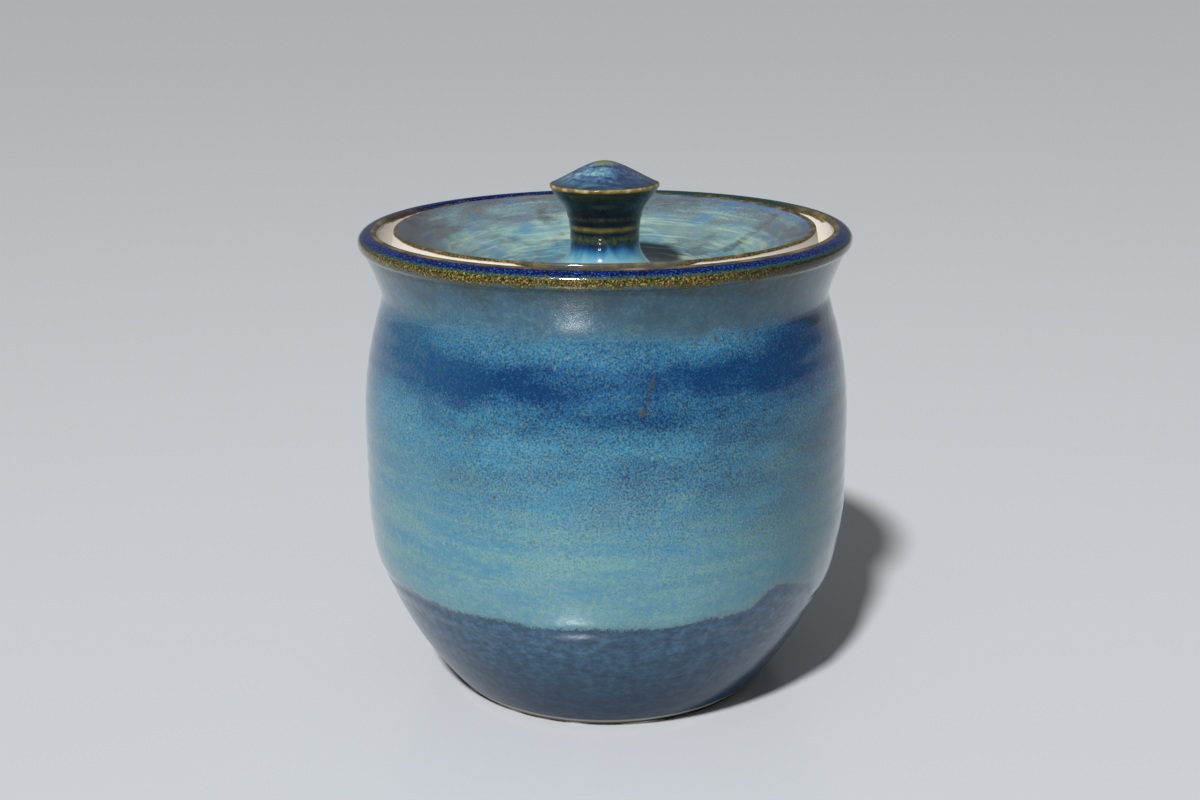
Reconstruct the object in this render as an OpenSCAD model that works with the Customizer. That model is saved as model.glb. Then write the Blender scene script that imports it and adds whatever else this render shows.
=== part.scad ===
/* [Jar outline] */
// Diameter of the foot where the bevel ends and the glaze begins
foot_d = 81.2; // [74:0.2:88]
// Height, and depth, of the bevel that undercuts the foot
foot_bevel = 1.6; // [0.8:0.1:3]
// Lean of the wall where it leaves the foot, in degrees from upright
foot_lean = 40; // [30:1:48]
// Height from the table to where the lower curve reaches the belly
foot_curve_h = 48; // [40:0.5:58]
// Diameter of the belly
belly_d = 120.3; // [112:0.1:130]
// Height of the upright band of the belly
belly_band_h = 18.3; // [6:0.1:30]
// Height of the shoulder, from the belly to the waist of the neck
shoulder_h = 32.8; // [26:0.1:42]
// Diameter at the waist of the neck
neck_d = 109.6; // [104:0.1:114]
// Height of the collar, from the waist of the neck to the groove under the rim
collar_h = 11.3; // [9:0.1:15]
// Lean of the collar where it meets the groove, in degrees from upright
collar_lean = 26; // [15:1:40]

/* [Rim] */
// Diameter over the rolled rim
rim_d = 120; // [116:0.1:126]
// Height of the roll, from the groove under it to the crest
roll_h = 4.4; // [3.4:0.1:6]
// Depth of the roll on its outside, from the crest to the widest point
roll_drop = 2.5; // [1.8:0.1:3]
// Width of the roll, from its crest to its outside
roll_w = 3.7; // [2.8:0.1:4.6]
// How far the groove under the roll is set in
groove_in = 1.1; // [0.5:0.1:2]
// Rounding of the crest towards the inside
crest_round = 1.1; // [0.6:0.1:1.6]

/* [Wall and foot] */
// Thickness of the wall at the belly
wall = 5.5; // [4:0.1:7]
// Thickness of the floor above the foot recess
floor_t = 6.5; // [5:0.1:9]
// Width of the flat ring that the jar stands on
foot_ring_w = 6; // [4:0.1:9]
// Depth of the turned recess under the floor
foot_recess = 2; // [1:0.1:3.5]
// Width of the flat middle of the floor, inside
floor_flat_d = 60; // [48:1:66]

/* [Gallery] */
// Depth of the ledge below the crest of the rim, which is also the height of the lid's side
seat_depth = 7.5; // [6:0.1:9]
// Thickness of the collar beside the ledge
collar_wall = 4.2; // [3.4:0.1:5]
// Width of the ledge that carries the lid
ledge_w = 5.7; // [4.5:0.1:7.5]
// Height of the upright edge of the ledge
ledge_edge_h = 4; // [2.5:0.1:6]
// Rounding in the corner of the ledge
seat_round = 0.5; // [0.2:0.1:0.6]

/* [Lid] */
// Clearance between the foot of the lid's side and the collar
lid_clearance = 0.8; // [0.8:0.1:1.5]
// Clearance between the dish and the mouth of the jar
mouth_clearance = 0.9; // [0.5:0.1:1.5]
// Draft of the lid's side, in degrees from upright
lid_draft = 8; // [4:0.5:12]
// Rounding of the lid's upper and lower edges
lid_round = 0.7; // [0.4:0.1:1]
// Depth of the dish below the lid's edge
dish_depth = 12.3; // [10:0.1:14]
// Width of the level floor of the dish that shows round the knob
dish_margin = 1.5; // [0.5:0.1:5]
// Thickness of the lid at the floor of the dish
lid_t = 5; // [4:0.1:7]
// Slope of the dish where it reaches the lid's edge, in degrees from level
dish_slope = 25; // [18:1:30]

/* [Knob] */
// Diameter of the knob where it spreads on to the dish
knob_base_d = 27.6; // [22:0.2:32]
// Height from the dish to the waist of the knob
knob_base_h = 8.6; // [7:0.1:11]
// Diameter of the waist
knob_waist_d = 16.9; // [13:0.1:20]
// Height from the waist to the underside of the cap's edge
knob_neck_h = 12.8; // [10:0.1:15]
// Diameter of the cap
cap_d = 26.8; // [22:0.2:34]
// Thickness of the cap's edge
cap_edge_t = 0.9; // [0.6:0.1:1.4]
// How far the cap's edge is rounded back
cap_edge_in = 0.3; // [0.2:0.05:0.5]
// Height of the crown above the cap's edge
cap_crown_h = 5.4; // [4:0.1:8]
// Slope of the crown where it leaves the cap's edge, in degrees from level
crown_slope = 23; // [18:1:35]
// Lean of the neck where it runs out under the cap, in degrees from upright
cap_lean = 24; // [16:1:40]
// Lean of the neck where it spreads on to the dish, in degrees from upright
knob_base_lean = 42; // [30:1:50]
// Number of throwing rings on the knob's neck
ring_count = 3; // [1:1:4]
// Height of the lowest throwing ring above the dish
ring_first_h = 9.4; // [7:0.1:11]
// Spacing of the throwing rings
ring_pitch = 2.55; // [1.8:0.05:3]
// Height that a throwing ring stands proud
ring_h = 0.1; // [0.05:0.05:0.3]
// Height of a throwing ring along the neck
ring_w = 1.3; // [0.8:0.1:1.8]

/* [Hidden] */
$fn = 120;
curve_steps = 14;

// How far a curve's handles reach, as a share of the stretch that the curve spans
foot_reach = 0.42;
belly_low_reach = 0.31;
belly_high_reach = 0.60;
waist_reach = 0.09;
collar_low_reach = 0.29;
collar_high_reach = 0.37;
round_reach = 0.55;
hollow_reach = 0.42;
knob_base_reach = 0.51;
knob_waist_low_reach = 0.5;
knob_waist_high_reach = 0.7;
cap_under_reach = 0.39;
crown_edge_reach = 0.33;
crown_top_reach = 0.29;

// Heights, stacked from the table up
belly_z = foot_curve_h + belly_band_h;
waist_z = belly_z + shoulder_h;
groove_z = waist_z + collar_h;
jar_h = groove_z + roll_h;
ledge_z = jar_h - seat_depth;
floor_z = foot_recess + floor_t;
dish_z = jar_h - dish_depth;
knob_waist_z = dish_z + knob_base_h;
cap_z = knob_waist_z + knob_neck_h;
cap_top_z = cap_z + cap_edge_t;
knob_top_z = cap_top_z + cap_crown_h;

// Radii of the jar
foot_r = foot_d / 2;
stand_r = foot_r - foot_bevel;
belly_r = belly_d / 2;
waist_r = neck_d / 2;
rim_r = rim_d / 2;
crest_r = rim_r - roll_w;
groove_r = rim_r - groove_in;
inner_belly_r = belly_r - wall;

// A point that lies a given way from another, leaning from upright
function lean(p, reach, angle) = p + reach * [sin(angle), cos(angle)];

// Points of a curve from a to d with handles b and c, without its first point
function curve(a, b, c, d) = [
    for (i = [1 : curve_steps])
        let (t = i / curve_steps, u = 1 - t)
        u * u * u * a + 3 * u * u * t * b + 3 * u * t * t * c + t * t * t * d
];

// Points of a quarter round from a to d, leaving a towards the corner and reaching d from it
function quarter(a, corner, d) =
    curve(a, a + round_reach * (corner - a), d + round_reach * (corner - d), d);

// The outside of the wall, from the foot to the groove under the rim
foot_edge = [foot_r, foot_bevel];
belly_low = [belly_r, foot_curve_h];
belly_high = [belly_r, belly_z];
waist = [waist_r, waist_z];
groove = [groove_r, groove_z];
foot_span = foot_curve_h - foot_bevel;
lower_wall = curve(
    foot_edge,
    lean(foot_edge, foot_reach * foot_span, foot_lean),
    belly_low - [0, belly_low_reach * foot_span],
    belly_low
);
shoulder = curve(
    belly_high,
    belly_high + [0, belly_high_reach * shoulder_h],
    waist - [0, waist_reach * shoulder_h],
    waist
);
collar = curve(
    waist,
    waist + [0, collar_low_reach * collar_h],
    lean(groove, -collar_high_reach * collar_h, collar_lean),
    groove
);

// The rolled rim, from the groove over the crest to the inside of the collar
roll_side = [rim_r, jar_h - roll_drop];
crest = [crest_r, jar_h];
collar_top = [crest_r - crest_round, jar_h - crest_round];
roll = concat(
    quarter(groove, [rim_r, groove_z], roll_side),
    quarter(roll_side, [rim_r, jar_h], crest),
    quarter(crest, [crest_r - crest_round, jar_h], collar_top)
);

// The gallery: the collar's thickness at the ledge sets where the lid sits
collar_outline = [for (p = collar) [p[1], p[0]]];
seat_r = lookup(ledge_z, collar_outline) - collar_wall;
mouth_r = seat_r - ledge_w;
seat_corner = [seat_r, ledge_z];
ledge_lip = [mouth_r, ledge_z];
ledge_foot = [mouth_r, ledge_z - ledge_edge_h];
gallery = concat(
    [seat_corner + [0, seat_round]],
    quarter(seat_corner + [0, seat_round], seat_corner, seat_corner - [seat_round, 0]),
    [ledge_lip + [seat_round, 0]],
    quarter(ledge_lip + [seat_round, 0], ledge_lip, ledge_lip - [0, seat_round]),
    [ledge_foot]
);

// The inside, from the ledge down the wall to the level floor
inner_high = [inner_belly_r, belly_z];
inner_low = [inner_belly_r, foot_curve_h];
floor_edge = [floor_flat_d / 2, floor_z];
inner_span = ledge_foot[1] - belly_z;
inner_wall = concat(
    curve(
        ledge_foot,
        ledge_foot - [0, hollow_reach * inner_span],
        inner_high + [0, hollow_reach * inner_span],
        inner_high
    ),
    [inner_low],
    quarter(inner_low, [inner_belly_r, floor_z], floor_edge)
);

// The lid takes its place from the ledge, the collar and the mouth
lid_seat_r = seat_r - lid_clearance;
lid_r = lid_seat_r - seat_depth * tan(lid_draft);
lid_pass_r = mouth_r - mouth_clearance;
dish_floor = [knob_base_d / 2 + dish_margin, dish_z];
dish_edge = [lid_r - lid_round, jar_h];
dish_under = dish_floor - [0, lid_t];
lid_heel = [lid_pass_r, ledge_z];
dish_span = dish_edge[0] - dish_floor[0];
under_span = lid_heel[0] - dish_under[0];
dish_dir = [cos(dish_slope), sin(dish_slope)];

// The knob stands on the level floor of the dish
cap_r = cap_d / 2;
ring_first_z = dish_z + ring_first_h;
knob_base = [knob_base_d / 2, dish_z];
knob_waist = [knob_waist_d / 2, knob_waist_z];
cap_under = [cap_r - cap_edge_in, cap_z];
cap_side = [cap_r, cap_z + cap_edge_t / 2];
cap_over = [cap_r - cap_edge_in, cap_top_z];
knob_flare = curve(
    knob_base,
    lean(knob_base, knob_base_reach * knob_base_h, -knob_base_lean),
    knob_waist - [0, knob_waist_low_reach * knob_base_h],
    knob_waist
);
knob_neck = curve(
    knob_waist,
    knob_waist + [0, knob_waist_high_reach * knob_neck_h],
    lean(cap_under, -cap_under_reach * knob_neck_h, cap_lean),
    cap_under
);
knob_outline = [for (p = concat(knob_flare, knob_neck)) [p[1], p[0]]];

module jar_body() {
    color("steelblue")
        rotate_extrude()
            polygon(concat(
                [
                    [0, foot_recess],
                    [stand_r - foot_ring_w - foot_recess, foot_recess],
                    [stand_r - foot_ring_w, 0],
                    [stand_r, 0],
                    foot_edge
                ],
                lower_wall,
                [belly_high],
                shoulder,
                collar,
                roll,
                gallery,
                inner_wall,
                [[0, floor_z]]
            ));
}

module lid() {
    side_top = [lid_r, jar_h - lid_round];
    side_foot = [lid_seat_r, ledge_z + lid_round];
    color("cadetblue")
        rotate_extrude()
            polygon(concat(
                [[0, dish_under[1]], dish_under],
                curve(
                    dish_under,
                    dish_under + [hollow_reach * under_span, 0],
                    lid_heel - hollow_reach * under_span * dish_dir,
                    lid_heel
                ),
                [[lid_seat_r - lid_round, ledge_z]],
                quarter([lid_seat_r - lid_round, ledge_z], [lid_seat_r, ledge_z], side_foot),
                [side_top],
                quarter(side_top, [lid_r, jar_h], dish_edge),
                curve(
                    dish_edge,
                    dish_edge - hollow_reach * dish_span * dish_dir,
                    dish_floor + [hollow_reach * dish_span, 0],
                    dish_floor
                ),
                [[0, dish_z]]
            ));
}

module lid_knob() {
    color("midnightblue")
        rotate_extrude() {
            polygon(concat(
                [[0, dish_z], knob_base],
                knob_flare,
                knob_neck,
                quarter(cap_under, [cap_r, cap_z], cap_side),
                quarter(cap_side, [cap_r, cap_top_z], cap_over),
                curve(
                    cap_over,
                    cap_over + crown_edge_reach * cap_r * [-cos(crown_slope), sin(crown_slope)],
                    [crown_top_reach * cap_r, knob_top_z],
                    [0, knob_top_z]
                )
            ));
            for (i = [0 : ring_count - 1])
                throwing_ring(ring_first_z + i * ring_pitch);
        }
}

// A low bead round the knob's neck, left by the thrower's fingers
module throwing_ring(z) {
    bead_r = (ring_w * ring_w / 4 + ring_h * ring_h) / (2 * ring_h);
    translate([lookup(z, knob_outline) + ring_h - bead_r, z])
        circle(bead_r);
}

jar_body();
lid();
lid_knob();
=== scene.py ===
import math

import bmesh
import bpy
from mathutils import Matrix, Vector


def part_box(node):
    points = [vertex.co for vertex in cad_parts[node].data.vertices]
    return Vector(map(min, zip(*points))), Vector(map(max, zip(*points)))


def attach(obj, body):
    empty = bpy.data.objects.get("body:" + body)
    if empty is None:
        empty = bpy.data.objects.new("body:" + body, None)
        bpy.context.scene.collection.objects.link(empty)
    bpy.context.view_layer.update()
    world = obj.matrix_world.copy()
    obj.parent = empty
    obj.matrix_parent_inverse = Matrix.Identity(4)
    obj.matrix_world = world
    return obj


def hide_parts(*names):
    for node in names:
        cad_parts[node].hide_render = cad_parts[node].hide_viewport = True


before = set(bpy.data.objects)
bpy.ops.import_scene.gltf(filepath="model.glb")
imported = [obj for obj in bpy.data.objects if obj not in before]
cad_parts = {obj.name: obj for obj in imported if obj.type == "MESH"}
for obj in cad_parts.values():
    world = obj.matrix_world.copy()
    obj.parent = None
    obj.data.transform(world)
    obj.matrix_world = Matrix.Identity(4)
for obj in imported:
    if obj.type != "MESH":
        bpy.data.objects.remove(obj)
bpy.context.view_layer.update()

# Jar body
# A thrown stoneware pot with a bevelled foot, a full belly, a waisted neck and a rolled rim.
# Turned from one lump of clay, with a ledge inside the neck for the lid, then dipped in blue glaze.
MM = 0.001
belly_r, _, jar_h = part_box("jar_body")[1] / MM
lid_seat_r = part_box("lid")[1].x / MM
foot_r = 40.6
foot_bevel = 1.6
foot_ring_w = 6.0
foot_recess = 2.0
foot_lean = math.radians(40)
belly_low_z = 48.0
belly_high_z = 66.3
waist_r = 54.8
waist_z = 99.1
rim_r = 60.0
roll_h = 4.4
roll_drop = 2.5
roll_w = 3.7
groove_in = 1.1
crest_round = 1.1
collar_lean = math.radians(26)
wall = 5.5
floor_z = 8.5
floor_flat_r = 30.0
seat_depth = 7.5
lid_clearance = 0.8
ledge_w = 5.7
ledge_edge_h = 4.0
seat_round = 0.5
# How far the handles of each curve reach, as a share of its run
foot_reach = 0.42
belly_low_reach = 0.31
belly_high_reach = 0.60
waist_reach = 0.09
collar_low_reach = 0.17
collar_high_reach = 0.32
hollow_reach = 0.42
round_reach = 0.55
# The second dip of glaze: its line, the lap and the slump in it, and the bead that it ends in
dip_h = 33.2
dip_waver = 3.5
lap_angle = math.radians(47)
lap_rise = 5.0
slump_drop = 5.5
bead_reach = 10.0
bare_thick = 0.2
# How far the glaze ran over its line where it ran, and the depth of the grit in the bare clay
run_over = 1.4
grit_depth = 0.01
# The lengths over which the press of the fingers and the sway of the wall change
press_size = 22.0
sway_size = 70.0
# Steps between the points of a section, and how close together points are merged
fine_step = 0.25
foot_step = 0.35
ledge_step = 0.5
wall_step = 0.7
plain_step = 1.0
hidden_step = 3.0
weld = 0.01


def curve(start, leave, arrive, end, step):
    """Points of a cubic from start to end, about step apart, without the first point."""
    a, b, c, d = (Vector(p) for p in (start, leave, arrive, end))
    count = max(2, math.ceil((d - a).length / step))
    points = []
    for i in range(1, count + 1):
        t = i / count
        u = 1 - t
        points.append(u ** 3 * a + 3 * u * u * t * b + 3 * u * t * t * c + t ** 3 * d)
    return points


def line(start, end, step):
    """Points of a straight run from start to end, without the first point."""
    a, d = Vector(start), Vector(end)
    return curve(a, a.lerp(d, 1 / 3), a.lerp(d, 2 / 3), d, step)


def quarter(start, corner, end, step):
    """Points of a quarter round from start to end that bends towards corner."""
    a, k, d = Vector(start), Vector(corner), Vector(end)
    return curve(a, a.lerp(k, round_reach), d.lerp(k, round_reach), d, step)


def section_mesh(name, runs):
    """A half section as edges. Each run is (points, glazed, how far throwing rings show).
    glaze_edge holds how far a point lies inside the glaze, in mm, below zero where the clay is bare."""
    points, glazed, rings = [], [], []
    for run, is_glazed, ring_share in runs:
        points += run
        glazed += [is_glazed] * len(run)
        rings += [ring_share] * len(run)
    along = [0.0]
    for near, far in zip(points, points[1:]):
        along.append(along[-1] + (far - near).length)
    steps = range(len(points) - 1)
    glaze_lines = [(along[i] + along[i + 1]) / 2 for i in steps if glazed[i] != glazed[i + 1]]
    inside = []
    for place, is_glazed in zip(along, glazed):
        reach = min((abs(place - edge) for edge in glaze_lines), default=jar_h)
        inside.append(reach if is_glazed else -reach)
    mesh = bpy.data.meshes.new(name)
    mesh.from_pydata([(p.x * MM, 0, p.y * MM) for p in points], [(i, i + 1) for i in steps], [])
    for label, values in (("glaze_edge", inside), ("rings", rings)):
        mesh.attributes.new(label, "FLOAT", "POINT").data.foreach_set("value", values)
    return mesh


def colour(code):
    """An sRGB hex code as a linear colour."""
    parts = [int(code[i:i + 2], 16) / 255 for i in (1, 3, 5)]
    linear = [c / 12.92 if c <= 0.04045 else ((c + 0.055) / 1.055) ** 2.4 for c in parts]
    return (*linear, 1.0)


def add(tree, kind, inputs=None, stops=None, **settings):
    """Adds a node with its properties. Each input, by name or number, gets a constant or a link.
    The stops of a colour ramp are (place, shade), with a hex code or a grey share."""
    node = tree.nodes.new(kind)
    for name, value in settings.items():
        setattr(node, name, value)
    for key, value in (inputs or {}).items():
        if isinstance(key, str):
            socket = next(s for s in node.inputs if s.name == key and s.enabled)
        else:
            socket = node.inputs[key]
        if isinstance(value, bpy.types.Node):
            value = next(s for s in value.outputs if s.enabled)
        if isinstance(value, bpy.types.NodeSocket):
            tree.links.new(value, socket)
        else:
            socket.default_value = value
    if stops:
        marks = node.color_ramp.elements
        while len(marks) < len(stops):
            marks.new(0.5)
        for mark, (place, shade) in zip(marks, stops):
            mark.position = place
            mark.color = colour(shade) if isinstance(shade, str) else (shade, shade, shade, 1.0)
    return node


def stirred(tree, value, *patterns):
    """A value that patterns push up and down. Each is given with the whole width of its swing."""
    for pattern, swing in patterns:
        push = add(tree, "ShaderNodeMath", {0: pattern, 1: swing, 2: -swing / 2}, operation="MULTIPLY_ADD")
        value = add(tree, "ShaderNodeMath", {0: value, 1: push}, operation="ADD")
    return value


def above_dip(tree, outward, height):
    """Height in mm above the wavering line where the second dip of glaze ends. It laps up, then slumps."""
    waver = add(tree, "ShaderNodeTexNoise", {"Vector": outward, "Scale": 3.0, "Detail": 3.0})
    lap_way = (math.sin(lap_angle), -math.cos(lap_angle), 0)
    lap = add(tree, "ShaderNodeVectorMath", {0: outward, 1: lap_way}, operation="DOT_PRODUCT")
    rightward = add(tree, "ShaderNodeSeparateXYZ", {0: outward}).outputs["X"]
    dip = stirred(tree, dip_h, (waver, dip_waver))
    for facing, start, full, rise in ((lap, 0.97, 0.996, lap_rise), (rightward, 0.64, 0.92, -slump_drop)):
        bend = add(
            tree, "ShaderNodeMapRange",
            {"Value": facing, "From Min": start, "From Max": full, "To Max": rise},
            interpolation_type="SMOOTHSTEP",
        )
        dip = add(tree, "ShaderNodeMath", {0: dip, 1: bend}, operation="ADD")
    return add(tree, "ShaderNodeMath", {0: height, 1: dip}, operation="SUBTRACT")


def thrown_form_tree():
    """Spins a half section round Z, with the rings and the slight wobble of hand throwing."""
    tree = bpy.data.node_groups.new("thrown_form", "GeometryNodeTree")
    for label, kind in (
        ("Section", "NodeSocketGeometry"), ("Segments", "NodeSocketInt"),
        ("Ring Pitch", "NodeSocketFloat"), ("Ring Depth", "NodeSocketFloat"),
        ("Wobble", "NodeSocketFloat"), ("Glaze Step", "NodeSocketFloat"),
        ("Seed", "NodeSocketFloat"), ("Finish", "NodeSocketMaterial"),
    ):
        tree.interface.new_socket(label, in_out="INPUT", socket_type=kind)
    tree.interface.new_socket("Form", in_out="OUTPUT", socket_type="NodeSocketGeometry")
    given = add(tree, "NodeGroupInput").outputs
    section = given["Section"]
    count = add(tree, "GeometryNodeAttributeDomainSize", {"Geometry": section}).outputs["Point Count"]
    around = add(tree, "ShaderNodeMath", {0: given["Segments"], 1: 1.0}, operation="ADD")
    grid = add(
        tree, "GeometryNodeMeshGrid",
        {"Size X": 1.0, "Size Y": 1.0, "Vertices X": around, "Vertices Y": count},
    )
    # Columns of the grid go round the pot and its rows follow the section
    where = add(tree, "ShaderNodeSeparateXYZ", {0: add(tree, "GeometryNodeInputPosition")})
    turn = add(tree, "ShaderNodeMath", {0: where.outputs["X"], 1: 0.5}, operation="ADD")
    share = add(tree, "ShaderNodeMath", {0: where.outputs["Y"], 1: 0.5}, operation="ADD")
    last = add(tree, "ShaderNodeMath", {0: count, 1: 1.0}, operation="SUBTRACT")
    row = add(tree, "ShaderNodeMath", {0: share, 1: last, 2: 0.5}, operation="MULTIPLY_ADD")
    point = add(
        tree, "GeometryNodeSampleIndex",
        {"Geometry": section, "Value": add(tree, "GeometryNodeInputPosition"), "Index": row},
        data_type="FLOAT_VECTOR",
    )
    point = add(tree, "ShaderNodeSeparateXYZ", {0: point})
    radius, height = point.outputs["X"], point.outputs["Z"]
    carried = {}
    for label in ("glaze_edge", "rings"):
        value = add(tree, "GeometryNodeInputNamedAttribute", {"Name": label}, data_type="FLOAT")
        carried[label] = add(
            tree, "GeometryNodeSampleIndex",
            {"Geometry": section, "Value": value, "Index": row}, data_type="FLOAT",
        )
    angle = add(tree, "ShaderNodeMath", {0: turn, 1: math.tau}, operation="MULTIPLY")
    across = add(tree, "ShaderNodeMath", {0: angle}, operation="COSINE")
    along = add(tree, "ShaderNodeMath", {0: angle}, operation="SINE")
    outward = add(tree, "ShaderNodeCombineXYZ", {"X": across, "Y": along})
    level = add(tree, "ShaderNodeCombineXYZ", {"Z": height})
    spot = add(tree, "ShaderNodeVectorMath", {0: outward, "Scale": radius}, operation="SCALE")
    spot = add(tree, "ShaderNodeVectorMath", {0: spot, 1: level}, operation="ADD")
    press, sway = (
        add(
            tree, "ShaderNodeTexNoise",
            {"Vector": spot, "W": given["Seed"], "Scale": 1 / (size * MM), "Detail": 1.0},
            noise_dimensions="4D",
        )
        for size in (press_size, sway_size)
    )
    # Finger rings climb the wall as one spiral, stronger where the fingers pressed harder
    climb = add(tree, "ShaderNodeMath", {0: height, 1: given["Ring Pitch"]}, operation="DIVIDE")
    phase = add(tree, "ShaderNodeMath", {0: climb, 1: turn}, operation="SUBTRACT")
    phase = add(tree, "ShaderNodeMath", {0: phase, 1: math.tau}, operation="MULTIPLY")
    wave = add(tree, "ShaderNodeMath", {0: phase}, operation="SINE")
    depth = add(tree, "ShaderNodeMath", {0: wave, 1: 0.5, 2: -0.5}, operation="MULTIPLY_ADD")
    for factor in (press, given["Ring Depth"]):
        depth = add(tree, "ShaderNodeMath", {0: depth, 1: factor}, operation="MULTIPLY")
    # Slightly out of round, always inwards so that the form keeps to its size
    sway = add(tree, "ShaderNodeMath", {0: sway, 1: 1.0}, operation="SUBTRACT")
    for factor in (given["Wobble"], radius):
        sway = add(tree, "ShaderNodeMath", {0: sway, 1: factor}, operation="MULTIPLY")
    # The second coat of glaze ends in a soft bead at the dip line, and the first has a faint one under it
    height_mm = add(tree, "ShaderNodeMath", {0: height, 1: 1 / MM}, operation="MULTIPLY")
    near_dip = add(
        tree, "ShaderNodeMapRange",
        {"Value": above_dip(tree, outward, height_mm), "From Min": -bead_reach, "From Max": bead_reach},
    )
    coat = add(
        tree, "ShaderNodeValToRGB", {"Fac": near_dip},
        stops=[
            (0.5 + above / bead_reach / 2, thick)
            for above, thick in ((-6, 0.0), (-3, 0.4), (-1.6, 0.3), (1.2, 1.0), (bead_reach, bare_thick))
        ],
    )
    coat.color_ramp.interpolation = "EASE"
    coat = add(tree, "ShaderNodeMath", {0: coat, 1: bare_thick}, operation="SUBTRACT")
    coat = add(tree, "ShaderNodeMath", {0: coat, 1: given["Glaze Step"]}, operation="MULTIPLY")
    outer = add(tree, "ShaderNodeMath", {0: carried["rings"], 1: 0.0}, operation="GREATER_THAN")
    relief = add(tree, "ShaderNodeMath", {0: coat, 1: outer, 2: sway}, operation="MULTIPLY_ADD")
    relief = add(
        tree, "ShaderNodeMath", {0: depth, 1: carried["rings"], 2: relief}, operation="MULTIPLY_ADD"
    )
    radius = add(tree, "ShaderNodeMath", {0: radius, 1: relief}, operation="ADD")
    spun = add(tree, "ShaderNodeVectorMath", {0: outward, "Scale": radius}, operation="SCALE")
    spun = add(tree, "ShaderNodeVectorMath", {0: spun, 1: level}, operation="ADD")
    form = add(
        tree, "GeometryNodeStoreNamedAttribute",
        {"Geometry": grid, "Name": "glaze_edge", "Value": carried["glaze_edge"]}, data_type="FLOAT",
    )
    form = add(tree, "GeometryNodeSetPosition", {"Geometry": form, "Position": spun})
    form = add(tree, "GeometryNodeMergeByDistance", {"Geometry": form, "Distance": weld * MM})
    form = add(tree, "GeometryNodeSetShadeSmooth", {"Geometry": form})
    form = add(tree, "GeometryNodeRealizeInstances", {"Geometry": form})
    form = add(tree, "GeometryNodeSetMaterial", {"Geometry": form, "Material": given["Finish"]})
    add(tree, "NodeGroupOutput", {"Form": form})
    return tree


thrown_form = thrown_form_tree()


def throw(name, section, **sizes):
    """A piece thrown on the wheel: the half section spun to a plain mesh with faces outwards."""
    piece = bpy.data.objects.new(name, section)
    bpy.context.collection.objects.link(piece)
    spin = piece.modifiers.new("thrown_form", "NODES")
    spin.node_group = thrown_form
    for socket in thrown_form.interface.items_tree:
        key = socket.name.lower().replace(" ", "_")
        if key in sizes:
            spin[socket.identifier] = sizes[key]
    bpy.context.view_layer.update()
    evaluated = piece.evaluated_get(bpy.context.evaluated_depsgraph_get())
    mesh = bpy.data.meshes.new_from_object(evaluated)
    piece.modifiers.remove(spin)
    faces = bmesh.new()
    faces.from_mesh(mesh)
    bmesh.ops.recalc_face_normals(faces, faces=faces.faces)
    faces.to_mesh(mesh)
    faces.free()
    mesh.name = name
    piece.data = mesh
    return piece


def wheel_coordinates(tree, place):
    """Height, distance from the axis and outward direction, for patterns that follow the wheel."""
    height = add(tree, "ShaderNodeSeparateXYZ", {0: place}).outputs["Z"]
    flat = add(tree, "ShaderNodeVectorMath", {0: place, 1: (1.0, 1.0, 0.0)}, operation="MULTIPLY")
    radius = add(tree, "ShaderNodeVectorMath", {0: flat}, operation="LENGTH")
    outward = add(tree, "ShaderNodeVectorMath", {0: flat}, operation="NORMALIZE")
    return height, radius, outward


def lay_glazes(tree, base, layers):
    """Lays glazes over a base one after another. Each is a share with a hex code or another glaze."""
    for share, glaze in layers:
        shade = colour(glaze) if isinstance(glaze, str) else glaze
        base = add(tree, "ShaderNodeMix", {"Factor": share, "A": base, "B": shade}, data_type="RGBA")
    return base


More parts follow.
